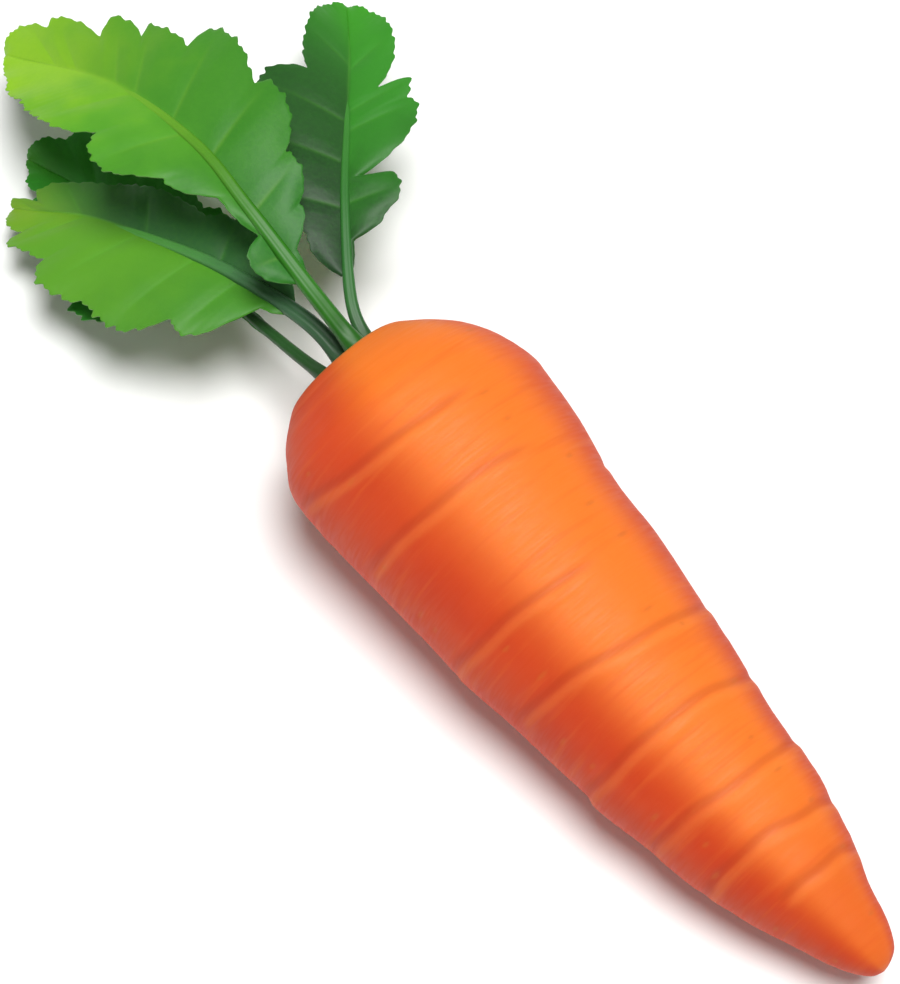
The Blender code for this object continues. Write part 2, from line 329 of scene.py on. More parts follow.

# %% [markdown]
# ## Pits, and the flat where it rests
#
# Thin side roots leave short slits in the skin, in loose rows down the root. Each slit is a small
# dent, wider than it is long. The weight of the root presses it to the table along a narrow flat,
# so points that would go below the table are raised to it. The skin's colours follow marks that
# are written on the points here: painted shade in the grooves, a painted highlight on the lips,
# the pits, the greenish crown, a painted highlight band along the top and painted shade towards
# the tip.

# %% Side-root slits
SLIT_ROWS = (-140, -60, 35, 118)
SLIT_PLACES = np.arange(16, 140, 9.5)
SLIT_HEIGHT = 0.55 * MM

chance = np.random.default_rng(11)
outward = (np.cos(angle)[:, None] * np.array(ROOT_UP)
           + np.sin(angle)[:, None] * np.array(ACROSS))
pit_mark = np.zeros(len(skin))
for row in SLIT_ROWS:
    for place in SLIT_PLACES:
        slit_station = (place + chance.uniform(-3.5, 3.5)) * MM
        slit_angle = math.radians(row + chance.uniform(-16, 16))
        slit_width = chance.uniform(0.9, 2.0) * MM
        slit_depth = chance.uniform(0.10, 0.22) * MM
        round_by = turn_from(slit_angle) * radius
        dent = bell(station - slit_station, SLIT_HEIGHT) * bell(round_by, slit_width)
        pit_mark = np.maximum(pit_mark, dent)
        shaped -= (dent * slit_depth)[:, None] * outward
print("slits:", len(SLIT_ROWS) * len(SLIT_PLACES))

# %% Rest it on the table and mark its parts
# Middle and width of a lighter, yellower band along the top of the root: a painted highlight.
LIGHT_BAND_MIDDLE = math.radians(12)
LIGHT_BAND_WIDTH = math.radians(40)
# Where the painted shade towards the tip begins, and where it is full.
TIP_SHADE_START, TIP_SHADE_END = 100 * MM, 150 * MM
GREEN_START, GREEN_END = 10.5 * MM, 15.5 * MM
GREEN_SLOPE = 0.6
GREEN_DEPTH = (8 * MM, 12 * MM)

shaped[:, 2] = np.maximum(shaped[:, 2], 0.0)
write_points(root, shaped)
green_crown = 1.0 - smooth_step(radius + GREEN_SLOPE * station, GREEN_START, GREEN_END)
marks = {
    # Painted shade: a darker line along each groove.
    "groove": painted_groove_shade,
    # Painted highlight: a lighter line along each lip.
    "lip": painted_lip_highlight,
    "pit": pit_mark,
    "crown": green_crown * (1.0 - smooth_step(station, *GREEN_DEPTH)),
    # Painted highlight: a band along the top of the root, painted lighter and yellower.
    "painted_light_band": bell(angle - LIGHT_BAND_MIDDLE, LIGHT_BAND_WIDTH),
    # Painted shade: the skin is painted darker and redder towards the tip.
    "tip": smooth_step(station, TIP_SHADE_START, TIP_SHADE_END),
}
for name, values in marks.items():
    write_attribute(root, name, values)
select_only(root)
bpy.ops.object.shade_smooth()
print("root lowest and highest, mm:", round(shaped[:, 2].min() / MM, 2),
      round(shaped[:, 2].max() / MM, 2))

# %% [markdown]
# ## Finishes: how a material is put together
#
# Every finish is a Principled shader with patterns in front of it. They could be joined by hand in
# the Shader Editor, but the same few nodes come back in each, so short helpers make them. One
# turns a hex colour, as it is picked on a screen, into the linear numbers that light works with.
# One adds a node, sets it up and joins it to the nodes before it, and the rest are built on those.

# %% Colour and node helpers
def linear(hex_colour):
    """The linear colour of an sRGB hex value such as #F07820, with an alpha of 1."""
    channels = [int(hex_colour[i:i + 2], 16) / 255 for i in (1, 3, 5)]
    return [c / 12.92 if c <= 0.04045 else ((c + 0.055) / 1.055) ** 2.4 for c in channels] + [1.0]


def fill_inputs(material, node, inputs):
    """Gives each named input a value, or another node's output to read."""
    for name, value in inputs.items():
        if isinstance(value, bpy.types.NodeSocket):
            material.node_tree.links.new(value, node.inputs[name])
        else:
            node.inputs[name].default_value = value


def add_node(material, kind, inputs, **settings):
    node = material.node_tree.nodes.new(kind)
    for name, value in settings.items():
        setattr(node, name, value)
    fill_inputs(material, node, inputs)
    return node


def new_finish(name):
    """A new material, and the Principled shader that it ends with."""
    material = bpy.data.materials.new(name)
    material.use_nodes = True
    return material, material.node_tree.nodes["Principled BSDF"]


print("carrot orange in linear light:", [round(c, 3) for c in linear("#F07820")[:3]])

# %% Helpers for mixing, measuring and bumping
# Sockets of a Mix node that mixes colours.
FACTOR, FIRST, SECOND, MIXED = 0, 6, 7, 2


def mix_colour(material, factor, first, second):
    mixed = add_node(material, "ShaderNodeMix", {FACTOR: factor, FIRST: first, SECOND: second},
                     data_type="RGBA")
    return mixed.outputs[MIXED]


def from_range(material, value, start, end, low=0.0, high=1.0):
    """A value's place between start and end, eased, as a number from low to high."""
    ranged = add_node(
        material, "ShaderNodeMapRange",
        {"Value": value, "From Min": start, "From Max": end, "To Min": low, "To Max": high},
        interpolation_type="SMOOTHSTEP",
    )
    return ranged.outputs["Result"]


def tint(material, colour, mark, start, end, most, hex_colour):
    """The colour mixed with another one, from not at all to most as the mark goes up."""
    share = from_range(material, mark, start, end, 0.0, most)
    return mix_colour(material, share, colour, linear(hex_colour))


def calculate(material, operation, *values):
    node = add_node(material, "ShaderNodeMath", dict(enumerate(values)), operation=operation)
    return node.outputs["Value"]


def attribute(material, name):
    return add_node(material, "ShaderNodeAttribute", {}, attribute_name=name).outputs["Fac"]


def object_place(material):
    return add_node(material, "ShaderNodeTexCoord", {}).outputs["Object"]


def object_noise(material, size, detail):
    """Noise in the object's own space that changes over about this size, in metres."""
    noise_node = add_node(
        material, "ShaderNodeTexNoise",
        {"Vector": object_place(material), "Scale": 1 / size, "Detail": detail},
    )
    return noise_node.outputs["Fac"]


def bumped(material, height, strength, distance):
    """The normal of a surface that seems to be raised where the height is large."""
    bump = add_node(material, "ShaderNodeBump",
                    {"Height": height, "Strength": strength, "Distance": distance})
    return bump.outputs["Normal"]


print("mixing, measuring and bumping helpers are ready")

# %% [markdown]
# ## Finish: washed carrot skin
#
# The skin is a thin, moist layer over juicy flesh. Light goes in a few millimetres and comes out
# redder, so the shader scatters light under the surface. Water in the cells gives an IOR of about
# 1.36 to 1.4, and a root that was washed and wiped dry has a dull satin gloss, roughness about 0.6.
# Growth rings show as fine bands across the root, half a millimetre to 2 mm apart, over broad
# patches of lighter and redder orange. The colours could be painted on an image, but noise that is
# stretched round the root gives the same bands at any size and with no seam. A Mapping node set to
# Texture turns the noise to the root's own axis.

# %% Patterns on the carrot's skin
def root_pattern(material, along, around, detail):
    """Noise that is stretched round the root: it changes over these lengths, in metres."""
    turned = add_node(
        material, "ShaderNodeMapping",
        {"Vector": object_place(material), "Location": CROWN, "Rotation": (0.0, LEAN, 0.0),
         "Scale": (along, around, around)},
        vector_type="TEXTURE",
    )
    pattern = add_node(
        material, "ShaderNodeTexNoise",
        {"Vector": turned.outputs["Vector"], "Scale": 1.0, "Detail": detail, "Roughness": 0.55},
    )
    return pattern.outputs["Fac"]


skin_finish, skin_shader = new_finish("washed_carrot_skin")
patches = root_pattern(skin_finish, 22 * MM, 16 * MM, 2.0)
bands = root_pattern(skin_finish, 2.0 * MM, 30 * MM, 3.0)
fine_bands = root_pattern(skin_finish, 0.55 * MM, 7 * MM, 2.0)
print("patterns on:", skin_finish.name)

# %% Carrot skin
# Each tint: what it follows, where it starts and is full, how strong it gets, and its colour.
skin_tints = (
    (patches, 0.35, 0.65, 1.0, "#D04312"),
    # Painted light: the band along the top is painted lighter and yellower, and the flanks outside
    # it keep the darker red base as painted shade.
    (attribute(skin_finish, "painted_light_band"), 0.05, 0.78, 1.0, "#EE7821"),
    # Painted shade: the skin is painted darker and redder towards the tip.
    (attribute(skin_finish, "tip"), 0.0, 1.0, 0.45, "#CC4410"),
    (bands, 0.52, 0.75, 0.16, "#EE8030"),
    (bands, 0.48, 0.28, 0.20, "#D04410"),
    # Painted highlight: each lip is painted lighter.
    (attribute(skin_finish, "lip"), 0.0, 1.0, 0.20, "#F08A3C"),
    # Painted shade: each groove is painted darker and redder.
    (attribute(skin_finish, "groove"), 0.0, 1.0, 0.30, "#A8300A"),
    (attribute(skin_finish, "pit"), 0.2, 1.0, 0.45, "#C9641F"),
    (attribute(skin_finish, "crown"), 0.0, 1.0, 0.80, "#6E6A22"),
)
colour = linear("#C93B0E")
for each_tint in skin_tints:
    colour = tint(skin_finish, colour, *each_tint)
bump_height = calculate(skin_finish, "ADD", bands, fine_bands)
fill_inputs(skin_finish, skin_shader, {
    "Base Color": colour,
    "Roughness": from_range(skin_finish, fine_bands, 0.3, 0.7, 0.54, 0.68),
    "Normal": bumped(skin_finish, bump_height, 0.18, 0.12 * MM),
    "IOR": 1.38,
    "Subsurface Weight": 0.22,
    "Subsurface Radius": (1.0, 0.22, 0.06),
    "Subsurface Scale": 4.0 * MM,
})
root.data.materials.append(skin_finish)
print(root.name, "takes", skin_finish.name)

# %% [markdown]
# ## The leaves' lines
#
# Each leaf hangs on one line: the stalk leaves the dimple in the crown and runs on as the midrib.
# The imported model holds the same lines, so the points below are its own numbers, in millimetres.
# The blade's edge is given as side veins: how far along the midrib each one starts, and how long
# it is. Long ones end in the crown of a lobe, and short ones in a notch between two lobes.

# %% Numbers of each leaf
# seat: where the stalk stands in the dimple, as (aside, up).
# midrib: points of the line behind the crown, as (back, side, height).
# radii: the stalk's at the crown and at its far end.
# droop: how strongly the two halves of the blade curve down, per mm from the midrib.
# left, right: the side veins, as (start, length).
LEAVES = {
    "upper_leaf": {
        "seat": (1.5, 3.4),
        "midrib": ((14, 1, 36.5), (32, 1.5, 40.5), (49, 2.5, 39.5), (73, 0.5, 30.5),
                   (96.5, -7.5, 16.5)),
        "radii": (1.9, 0.5),
        "blade_start": 16,
        "midrib_end": 88,
        "droop": 0.012,
        "left": ((16, 1.5), (22, 6.6), (27.5, 1.5), (37, 3.7), (44, 10.5), (54, 17.8), (61, 12.8),
                 (70, 18.8), (80, 16.3), (90.5, 11.6)),
        "right": ((16, 1), (21, 2.5), (26.5, 8.5), (32, 13), (35, 12.7), (46, 19.7), (47.7, 17),
                  (58, 23.5), (61.7, 16.3), (69.3, 17.6), (70.6, 14), (75, 17), (78.5, 10.5),
                  (85.8, 16.4), (88.4, 12.9), (91.5, 15.3), (96, 12.7)),
    },
    "right_leaf": {
        "seat": (4.7, -0.3),
        "midrib": ((9, 7.4, 29), (25, 19, 30), (38, 30, 27), (52, 42, 21.5), (62, 49.5, 17)),
        "radii": (1.4, 0.4),
        "blade_start": 14,
        "midrib_end": 68,
        "droop": 0.012,
        "left": ((14, 1.5), (21, 7.5), (28, 13.5), (31, 12), (38, 19), (41, 17), (48, 20),
                 (54.5, 10.4), (63, 13.4), (73, 8.2)),
        "right": ((14, 0.9), (21, 1.5), (24.5, 7.5), (29, 11), (31.8, 10.2), (34, 3.3),
                  (45.5, 15.2), (47.2, 13), (50.3, 14.4), (52.2, 6.9), (61.5, 12.6), (69.5, 9)),
    },
    "left_leaf": {
        "seat": (-0.4, -2.2),
        "midrib": ((12, -1.2, 27), (31, -6, 25), (49, -12, 18.7), (62, -17, 12.8),
                   (73.5, -24.5, 7)),
        "radii": (2.0, 0.5),
        "blade_start": 15,
        "midrib_end": 71,
        "droop": 0.012,
        "left": ((15, 1), (19.5, 3.3), (27, 16.3), (29.4, 14.5), (37.5, 21.5), (44.3, 19.5),
                 (51.5, 21.4), (57, 16.3), (65, 16.6), (69, 10.6), (73, 9.6)),
        "right": ((15, 1), (22, 6), (32.5, 10.2), (38, 8.3), (50, 11), (58, 9.2), (66, 9.6),
                  (70, 8.2), (73.2, 4.1), (76.5, 6.8)),
    },
    "lower_leaf": {
        "seat": (-5.6, -0.8),
        "midrib": ((10, -6, 22.5), (25, -6.5, 17), (45, -7.5, 10.5), (65, -10, 6), (82, -15, 3)),
        "radii": (1.4, 0.4),
        "blade_start": 17,
        "midrib_end": 73,
        "droop": 0.006,
        "left": ((17, 1), (26, 1.2), (31, 5), (43, 24.5), (47, 20), (54, 21), (58, 15), (66, 15),
                 (70, 11), (79, 6)),
        "right": ((17, 1), (26, 1.2), (31, 6), (42, 13), (46, 11), (56, 15), (60, 12), (69, 15),
                  (72.5, 12), (79, 9)),
    },
}
DIMPLE_DEPTH = 3.0 * MM
SEAT_DEPTH = 2.65 * MM
SUNK = 0.7 * MM
STALK_FLARE = 1.35
STALK_FLARE_LENGTH = 6 * MM


class Midrib:
    """The line that a leaf's stalk and blade share, measured by distance from the crown's lip."""

    def __init__(self, leaf):
        self.leaf = leaf
        seat_aside, seat_up = (value * MM for value in leaf["seat"])
        floor = CROWN + TO_TIP * SEAT_DEPTH + ROOT_UP * seat_up + ACROSS * seat_aside
        lip = floor - TO_TIP * DIMPLE_DEPTH
        bends = [Vector((CROWN.x - back * MM, side * MM, height * MM))
                 for back, side, height in leaf["midrib"]]
        self.line = smooth_path([floor, lip, *bends], per_span=16)
        steps = np.linalg.norm(np.diff(self.line, axis=0), axis=1)
        self.stations = np.concatenate(([0.0], np.cumsum(steps))) - (lip - floor).length
        self.length = self.stations[-1]

    def point(self, stations):
        places = [np.interp(stations, self.stations, self.line[:, axis]) for axis in range(3)]
        before = np.minimum(stations - self.stations[0], 0.0)
        return np.stack(places, axis=-1) - np.multiply.outer(before, np.array(TO_TIP))

    def directions(self, stations):
        """Towards the leaf's tip, towards its right edge, and up from its face."""
        step = 1 * MM
        ahead = self.point(np.minimum(stations + step, self.length))
        forward = unit(ahead - self.point(np.minimum(stations, self.length - step) - step))
        right = unit(np.cross(forward, (0.0, 0.0, 1.0)))
        return forward, right, np.cross(right, forward)

    def radius(self, stations):
        """A straight taper to the end of the midrib, with a flare where the stalk leaves."""
        base, end = (value * MM for value in self.leaf["radii"])
        share = np.interp(stations, (0, self.leaf["midrib_end"] * MM), (0, 1))
        flare = (STALK_FLARE - 1) * np.interp(stations, (0, STALK_FLARE_LENGTH), (1, 0)) ** 2
        return (base + (end - base) * share) * (1 + flare)


def unit(vectors):
    return vectors / np.linalg.norm(vectors, axis=-1, keepdims=True)


midribs = {name: Midrib(leaf) for name, leaf in LEAVES.items()}
for name, midrib in midribs.items():
    print(name, "midrib length, mm:", round(midrib.length / MM, 1))

# %% [markdown]
# ## Stalks
#
# A leaf stalk is a juicy rod with a shallow channel along its upper side. It is modelled standing
# up: a circle is added, and extruded and resized ring by ring to the taper. A Curve modifier could
# bend it, but its twist is hard to control, so the straight rod is laid along the midrib in code,
# with its channel kept on top.

# %% Model a straight rod
ROD_SIDES = 12
ROD_STEP = 2.6 * MM


def make_rod(name, midrib):
    end = midrib.leaf["midrib_end"] * MM
    rings = np.linspace(midrib.stations[0] - SUNK, end, round(end / ROD_STEP))
    widths = midrib.radius(rings)
    select_only(None)
    bpy.ops.mesh.primitive_circle_add(vertices=ROD_SIDES, radius=widths[0], fill_type="TRIFAN",
                                      location=(0, 0, rings[0]))
    rod = bpy.context.object
    rod.name = name
    bpy.ops.object.transform_apply(location=True)
    bpy.ops.object.mode_set(mode="EDIT")
    bpy.ops.mesh.select_all(action="SELECT")
    for before, after, width, next_width in zip(rings, rings[1:], widths, widths[1:]):
        bpy.ops.mesh.extrude_region_move(
            TRANSFORM_OT_translate={"value": (0, 0, after - before)})
        bpy.ops.transform.resize(value=(next_width / width, next_width / width, 1),
                                 center_override=(0, 0, after))
    bpy.ops.mesh.select_all(action="SELECT")
    bpy.ops.mesh.normals_make_consistent(inside=False)
    bpy.ops.object.mode_set(mode="OBJECT")
    rounder = rod.modifiers.new("Rounder", "SUBSURF")
    rounder.levels = rounder.render_levels = 2
    apply_modifiers(rod)
    return rod


stalks = {name: make_rod(name + "_stalk_skin", midrib) for name, midrib in midribs.items()}
print("rods, mm:", [round(stalk.dimensions.z / MM, 1) for stalk in stalks.values()])

# %% Lay each rod along its midrib
CHANNEL_DEPTH = 0.32
CHANNEL_WIDTH = math.radians(38)
CHANNEL_RUN_IN = 5 * MM
CLOSING = 0.5
CLOSING_LENGTH = 6 * MM


def lay_rod(rod, midrib):
    straight = read_points(rod)
    along = straight[:, 2]
    turn = np.arctan2(straight[:, 0], straight[:, 1])
    end = midrib.leaf["midrib_end"] * MM
    closing = 1.0 - CLOSING * smooth_step(along, end - CLOSING_LENGTH, end)
    on_top = bell(turn, CHANNEL_WIDTH)
    channel = 1.0 - CHANNEL_DEPTH * on_top * smooth_step(along, 0, CHANNEL_RUN_IN)
    _, right, up = midrib.directions(along)
    scale = (channel * closing)[:, None]
    # The rod's own +X goes to the left, which keeps its faces outward.
    laid = (midrib.point(along) - right * straight[:, :1] * scale
            + up * straight[:, 1:2] * scale)
    write_points(rod, laid)
    write_attribute(rod, "along", along / midrib.length)
    select_only(rod)
    bpy.ops.object.shade_smooth()


for name, stalk in stalks.items():
    lay_rod(stalk, midribs[name])
    print(stalk.name, "faces:", len(stalk.data.polygons))

# %% [markdown]
# ## Blades
#
# A blade is a thin sheet with a lobed edge. A flat grid is added with its rows ready to follow the
# side veins, and every row is then drawn out to the length of its vein and laid beside the midrib.
# Between two veins the sheet swells a little, and its edge waves. Solidify gives it a thickness
# that thins towards the edge, and Bevel takes the hard corner off the rim.

# %% The lobed margin
LEAST_REACH = 0.9 * MM
LOBE_ROUNDNESS = 2.4
BASE_VEIN_ANGLE = math.radians(80)
TIP_VEIN_ANGLE = math.radians(12)
VEIN_SWEEP = 1.8
TIP_ROUNDNESS = 1.25


def margin(pairs, stations, tip_station):
    """Length of the side vein that leaves the midrib at each station, out to the lobed edge."""
    starts, reaches = np.array(pairs).T * MM
    starts, reaches = np.append(starts, tip_station), np.append(reaches, LEAST_REACH)
    after = np.clip(np.searchsorted(starts, stations), 1, len(starts) - 1)
    rising = reaches[after] > reaches[after - 1]
    low = np.where(rising, after - 1, after)
    high = np.where(rising, after, after - 1)
    share = np.clip((stations - starts[low]) / (starts[high] - starts[low]), 0.0, 1.0)
    roundness = np.where(after == len(starts) - 1, TIP_ROUNDNESS, LOBE_ROUNDNESS)
    rounded = 1 - (1 - share) ** roundness
    return np.maximum(reaches[low] + (reaches[high] - reaches[low]) * rounded, LEAST_REACH)


def lobe_crowns(pairs):
    """Stations of the side veins that end in the crown of a lobe."""
    reaches = [0.0] + [reach for _, reach in pairs] + [0.0]
    is_crown = [before <= reach >= after
                for before, reach, after in zip(reaches, reaches[1:], reaches[2:])]
    return [start * MM for (start, _), crown in zip(pairs, is_crown) if crown]


for name, leaf in LEAVES.items():
    print(name, "lobes:", len(lobe_crowns(leaf["left"])), "left,",
          len(lobe_crowns(leaf["right"])), "right")

# %% A grid, and where its veins are
GRID_ROWS = 220
GRID_COLUMNS = 52
FAR_AWAY = 1.0


def add_grid(name, length):
    """A flat grid, with each point's place along it (0 to 1) and across it (-1 to 1)."""
    select_only(None)
    bpy.ops.mesh.primitive_grid_add(x_subdivisions=GRID_ROWS, y_subdivisions=GRID_COLUMNS,
                                    size=length)
    grid = bpy.context.object
    grid.name = name
    flat = read_points(grid) / (length / 2)
    return grid, np.clip((flat[:, 0] + 1) / 2, 0, 1), flat[:, 1]


def distance_to_vein(leaf, stations, on_right):
    """How far each point is, along the midrib, from the nearest side vein on its own half."""
    nearest = np.full(len(stations), FAR_AWAY)
    for side, pairs in ((on_right, leaf["right"]), (~on_right, leaf["left"])):
        for crown in lobe_crowns(pairs):
            nearest = np.where(side, np.minimum(nearest, np.abs(stations - crown)), nearest)
    return nearest


print("points in a blade's grid:", (GRID_ROWS + 1) * (GRID_COLUMNS + 1))

# %% Lay each grid along its midrib
BLADE_FOLD = 0.28
VEIN_WIDTH = 0.55 * MM
VEIN_START = 1.5 * MM
VEIN_SINK = 0.10 * MM
VEIN_PALENESS = 0.6
QUILT = 0.30 * MM
QUILT_EDGE = 3 * MM
QUILT_REACH = 1.1
WAVE = 0.45 * MM
WAVE_LENGTH = 11 * MM
RAGGED = 0.016
COARSE_TEETH, FINE_TEETH = 2.1, 3.7  # waves of the edge, in radians per mm
MIDRIB_WIDTH = 0.6 * MM
MIDRIB_SHOWS = (0.45, 0.8)
# How far the sheet lies below the stalk's middle, in stalk radii, and how much it rises later on.
SHEET_BELOW = 0.45
SHEET_RISE = 1.1
SHEET_RISES = (0.2, 0.9)


def make_blade(name, midrib, seed):
    leaf = midrib.leaf
    blade, along, across = add_grid(name, midrib.length)
    start = leaf["blade_start"] * MM
    stations = start + (midrib.length - start) * along
    out = np.abs(across)
    on_right = across > 0

    edge = np.where(on_right, margin(leaf["right"], stations, midrib.length),
                    margin(leaf["left"], stations, midrib.length))
    teeth = (np.sin(COARSE_TEETH * stations / MM + seed)
             + np.sin(FINE_TEETH * stations / MM + 2 * seed + on_right))
    reach = edge * out * (1 + RAGGED * teeth * out ** 2)
    vein_angle = BASE_VEIN_ANGLE + (TIP_VEIN_ANGLE - BASE_VEIN_ANGLE) * along ** VEIN_SWEEP
    sideways = reach * np.sin(vein_angle)

    to_vein = distance_to_vein(leaf, stations, on_right)
    vein = bell(to_vein, VEIN_WIDTH) * (1 - out ** 2) * smooth_step(reach, 0, VEIN_START)
    between = smooth_step(to_vein, 0, QUILT_EDGE)
    quilt = QUILT * between * np.sin(math.pi * np.minimum(out * QUILT_REACH, 1))
    wave = WAVE * out ** 3 * np.sin(2 * math.pi * stations / WAVE_LENGTH + seed + 2 * on_right)
    rise = BLADE_FOLD * sideways - leaf["droop"] / MM * sideways ** 2 + quilt + wave
    rise -= VEIN_SINK * vein

    forward, right, up = midrib.directions(stations)
    below = SHEET_BELOW - SHEET_RISE * smooth_step(along, *SHEET_RISES)
    laid = (midrib.point(stations) - up * (midrib.radius(stations) * below)[:, None]
            + forward * (reach * np.cos(vein_angle))[:, None]
            + right * (np.copysign(sideways, across))[:, None])
    laid[:, 2] += rise
    write_points(blade, laid)
    write_attribute(blade, "along", along)
    write_attribute(blade, "across", across)
    midrib_line = bell(reach, MIDRIB_WIDTH) * smooth_step(along, *MIDRIB_SHOWS)
    write_attribute(blade, "vein", np.maximum(vein * VEIN_PALENESS, midrib_line))
    return blade


SEED_STEP = 1.7
blades = {}
for count, (name, midrib) in enumerate(midribs.items()):
    blades[name] = make_blade(name + "_blade_skin", midrib, seed=SEED_STEP * count)
print("blades laid:", len(blades))

# %% Give the blades thickness
BLADE_THICKNESS = 0.5 * MM
RIM_SHARE = 0.5
RIM_BEVEL = 0.1 * MM
RIM_CORNER = math.radians(50)


def thicken(blade):
    thick = blade.vertex_groups.new(name="thick")
    out = np.empty(len(blade.data.vertices), np.float32)
    blade.data.attributes["across"].data.foreach_get("value", out)
    for index, share in enumerate(np.clip(1 - np.abs(out) ** 3, 0, 1)):
        thick.add([index], float(share), "REPLACE")
    sheet = blade.modifiers.new("Thickness", "SOLIDIFY")
    sheet.thickness = BLADE_THICKNESS
    sheet.offset = 0.0
    sheet.vertex_group = thick.name
    sheet.thickness_vertex_group = RIM_SHARE
    softer = blade.modifiers.new("Softer rim", "BEVEL")
    softer.width = RIM_BEVEL
    softer.segments = 1
    softer.limit_method = "ANGLE"
    softer.angle_limit = RIM_CORNER
    apply_modifiers(blade)
    blade.vertex_groups.clear()
    normals = np.empty(len(blade.data.vertices) * 3, np.float32)
    blade.data.vertices.foreach_get("normal", normals)
    write_attribute(blade, "under", normals.reshape(-1, 3)[:, 2] < 0)
    bpy.ops.object.shade_smooth()


for blade in blades.values():
    thicken(blade)
    print(blade.name, "faces:", len(blade.data.polygons))

# %% [markdown]
# ## Finish: fresh leaf
#
# A young leaf is smooth and a little waxy: IOR about 1.45, roughness about 0.55 on the face and
# 0.65 below, and a weak glow from light that passes through the cells. Lobes near the tip are
# yellower, the face is a fresh green, and it is deep green near the base. Each blade's halves also
# take a share of a dark green, as painted shadow, which fades towards the tip. Veins are
# paler than the cells between them, and the underside is pale and dull. Painting each leaf by hand
# would work too, but one finish that reads the blade's own attributes follows its veins exactly,
# and the four leaves then differ only in their colours.

# %% Leaf blade finishes
FLESH_GLOW = (0.5, 1.0, 0.2)


def leaf_finish(name, deep, fresh, young, young_from, dark, shadow_left, shadow_right, vein_colour):
    """The dark colour is painted shadow, and the two numbers after it say how much of it each half
    of the blade takes.
    """
    material, shader = new_finish(name)
    blotches = object_noise(material, 9 * MM, 3.0)
    cells = object_noise(material, 0.9 * MM, 2.0)
    along = attribute(material, "along")
    vein = attribute(material, "vein")
    under = attribute(material, "under")
    wandering = calculate(material, "MULTIPLY_ADD", blotches, 0.30, along)
    colour = tint(material, linear(deep), wandering, 0.15, 0.75, 1.0, fresh)
    colour = tint(material, colour, wandering, young_from, young_from + 0.4, 1.0, young)

    # Painted shadow: each half of the blade takes its share of the dark colour, less towards the
    # tip.
    half = from_range(material, attribute(material, "across"), -0.04, 0.10, shadow_left, shadow_right)
    fading = from_range(material, along, 0.55, 1.0, 1.0, 0.15)
    shade = calculate(material, "MULTIPLY", half, fading)
    colour = mix_colour(material, shade, colour, linear(dark))

    colour = tint(material, colour, cells, 0.35, 0.7, 0.07, fresh)
    colour = tint(material, colour, vein, 0.0, 1.0, 0.36, vein_colour)
    colour = tint(material, colour, under, 0.0, 1.0, 0.55, "#7FA566")
    height = calculate(material, "SUBTRACT", cells, vein)
    fill_inputs(material, shader, {
        "Base Color": colour,
        "Roughness": from_range(material, under, 0.0, 1.0, 0.54, 0.66),
        "Normal": bumped(material, height, 0.25, 0.15 * MM),
        "IOR": 1.45,
        "Subsurface Weight": 0.12,
        "Subsurface Radius": FLESH_GLOW,
        "Subsurface Scale": 1.0 * MM,
    })
    return material


def give_finishes(objects, finishes):
    for name, obj in objects.items():
        obj.data.materials.append(finishes[name])
        print(obj.name, "takes", finishes[name].name)


# Each leaf's dark colour, with its share on each half of the blade, is painted shadow. The lower
# leaf lies under the others and is painted in darker greens all over, as painted shade.
BLADE_FINISHES = {
    "upper_leaf": leaf_finish("fresh_leaf_bright", "#206F14", "#539D1F", "#8BBF1B", 0.62,
                              "#1B6A13", 0.0, 0.45, "#76A831"),
    "right_leaf": leaf_finish("fresh_leaf_deep", "#164714", "#32891D", "#3A9918", 0.80,
                              "#0E3010", 0.75, 0.05, "#4F942E"),
    "left_leaf": leaf_finish("fresh_leaf_shadowed_half", "#3D8321", "#56961C", "#709A19", 0.78,
                              "#26602B", 0.0, 0.95, "#58A235"),
    "lower_leaf": leaf_finish("shaded_leaf", "#186E0A", "#1E7E0C", "#427A14", 0.90,
                              "#125E06", 0.3, 0.3, "#2A7E15"),
}
give_finishes(blades, BLADE_FINISHES)

# %% [markdown]
# ## Finish: leaf stalk
#
# The stalk's skin is tight and smooth, with a soft gloss: IOR about 1.42, roughness about 0.45. It
# is dark where it leaves the crown, and turns paler and yellower as it becomes the midrib. A plain
# colour would look like plastic, so three greens are mixed by the distance along the stalk, and
# noise keeps the change between them from being a straight line.

# %% Stalk finishes
def stalk_finish(name, base, middle, end):
    material, shader = new_finish(name)
    blotches = object_noise(material, 4 * MM, 2.0)
    wandering = calculate(material, "MULTIPLY_ADD", blotches, 0.08, attribute(material, "along"))
    colour = tint(material, linear(base), wandering, 0.02, 0.22, 1.0, middle)
    fill_inputs(material, shader, {
        "Base Color": tint(material, colour, wandering, 0.25, 0.75, 1.0, end),
        "Roughness": 0.46,
        "Normal": bumped(material, blotches, 0.2, 0.2 * MM),
        "IOR": 1.42,
        "Subsurface Weight": 0.15,
        "Subsurface Radius": FLESH_GLOW,
        "Subsurface Scale": 1.0 * MM,
    })
    return material


STALK_FINISHES = {
    "upper_leaf": stalk_finish("stalk_bright", "#1D590B", "#2A7310", "#69A325"),
    "right_leaf": stalk_finish("stalk_deep", "#254F22", "#2C6A2A", "#3C832E"),
    "left_leaf": stalk_finish("stalk_slate", "#2C4F2E", "#37623E", "#529A40"),
    "lower_leaf": stalk_finish("stalk_shaded", "#20401E", "#234D20", "#235D1E"),
}
give_finishes(stalks, STALK_FINISHES)

# %% [markdown]
# ## Join the pieces to the imported model
#
# Nothing on a carrot moves, so every piece rides on the one body. Each piece stands for the packed
# part of the same name, which stays behind as its collision shape.

# %% Ride and replace
pieces = {"root": root}
for name in LEAVES:
    pieces[name + "_stalk"] = stalks[name]
    pieces[name + "_blade"] = blades[name]
for node_name, piece in pieces.items():
    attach(piece, "root")
    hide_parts(node_name)
print("pieces:", len(pieces))

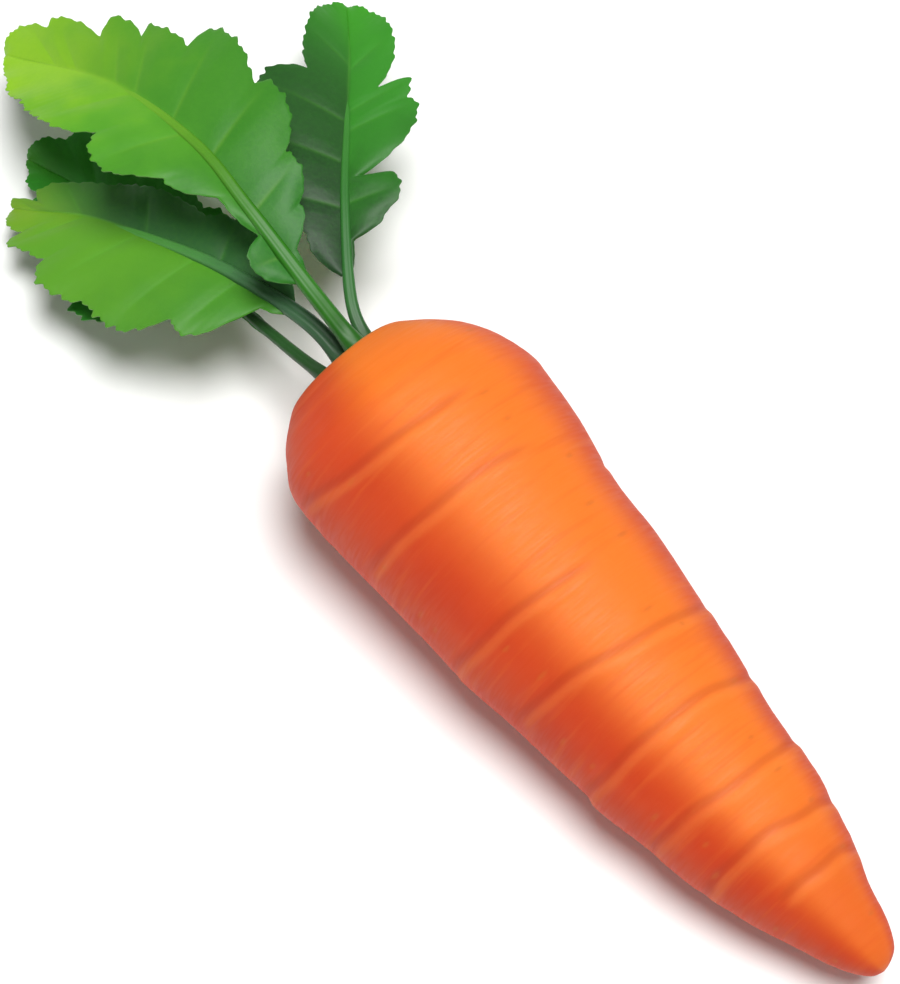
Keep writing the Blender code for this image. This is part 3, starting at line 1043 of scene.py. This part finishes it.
# %% [markdown]
# ## Table, light and camera
#
# The carrot lies on a plain pale table. The light is that of a studio: a wide window almost
# straight above, a weak fill from the camera's left, and a little light from the whole room. An
# area lamp would light only the near part of the table, so each window is a Sun lamp with a wide
# angle, which gives the same soft shadows everywhere. The camera looks down on the carrot steeply.

# %% Table
TABLE_SIZE = 12.0
WARM_WHITE = linear("#FAFAF9")

select_only(None)
bpy.ops.mesh.primitive_plane_add(size=TABLE_SIZE, location=(0, 0, 0))
table = bpy.context.object
table.name = "table"
table_finish, table_shader = new_finish("white_painted_board")
fill_inputs(table_finish, table_shader, {"Base Color": WARM_WHITE, "Roughness": 0.75})
table.data.materials.append(table_finish)
print("table, m:", TABLE_SIZE, "finish:", table_finish.name)

# %% Camera
AZIMUTH = math.radians(50.149)
ELEVATION = math.radians(68)
CAMERA_DISTANCE = 0.8
CAMERA_LENS = 155.266
CAMERA_RIGHT = Vector((math.cos(AZIMUTH), math.sin(AZIMUTH), 0))
CAMERA_BACK = Vector((math.sin(AZIMUTH) * math.cos(ELEVATION),
                      -math.cos(AZIMUTH) * math.cos(ELEVATION), math.sin(ELEVATION)))
CAMERA_UP = CAMERA_BACK.cross(CAMERA_RIGHT)
# In mm, to the camera's right and up from the origin.
AIM_RIGHT, AIM_UP = -21.696, 30.216
AIM = CAMERA_RIGHT * AIM_RIGHT * MM + CAMERA_UP * AIM_UP * MM

bpy.ops.object.camera_add(location=AIM + CAMERA_BACK * CAMERA_DISTANCE)
camera = bpy.context.object
camera.name = "camera"
camera.rotation_euler = Matrix((CAMERA_RIGHT, CAMERA_UP, CAMERA_BACK)).transposed().to_euler()
camera.data.lens = CAMERA_LENS
camera.data.sensor_width = 36
camera.data.clip_start = 0.05
bpy.context.scene.camera = camera
print("camera at, mm:", [round(v / MM) for v in camera.location])

# %% Windows
KEY_STRENGTH, KEY_SPREAD = 3.55, 30
FILL_STRENGTH, FILL_SPREAD = 0.33, 35


def add_window(name, direction, spread, strength):
    """Even light from a wide window far away. The spread is how wide it looks, in degrees."""
    direction = Vector(direction).normalized()
    bpy.ops.object.light_add(type="SUN", location=direction)
    light = bpy.context.object
    light.name = name
    light.rotation_euler = direction.to_track_quat("Z", "Y").to_euler()
    light.data.angle = math.radians(spread)
    light.data.energy = strength
    print(name, "from", [round(v, 2) for v in direction])


add_window("key", CAMERA_BACK * 0.90 + CAMERA_RIGHT * 0.12 + CAMERA_UP * 0.38,
           KEY_SPREAD, KEY_STRENGTH)
add_window("fill", CAMERA_RIGHT * -0.9 + CAMERA_BACK * 0.5, FILL_SPREAD, FILL_STRENGTH)

# %% The room
# The room lights the carrot only weakly, but the camera sees it as a bright, even wall.
ROOM_LIGHT = 0.15
ROOM_SEEN = 0.95

room = bpy.data.worlds.new("soft room")
bpy.context.scene.world = room
room.use_nodes = True
seen = add_node(room, "ShaderNodeLightPath", {}).outputs["Is Camera Ray"]
fill_inputs(room, room.node_tree.nodes["Background"], {
    "Color": WARM_WHITE,
    "Strength": from_range(room, seen, 0, 1, ROOM_LIGHT, ROOM_SEEN),
})
bpy.context.scene.view_settings.view_transform = "Standard"
print("room light:", ROOM_LIGHT, "and as seen:", ROOM_SEEN)
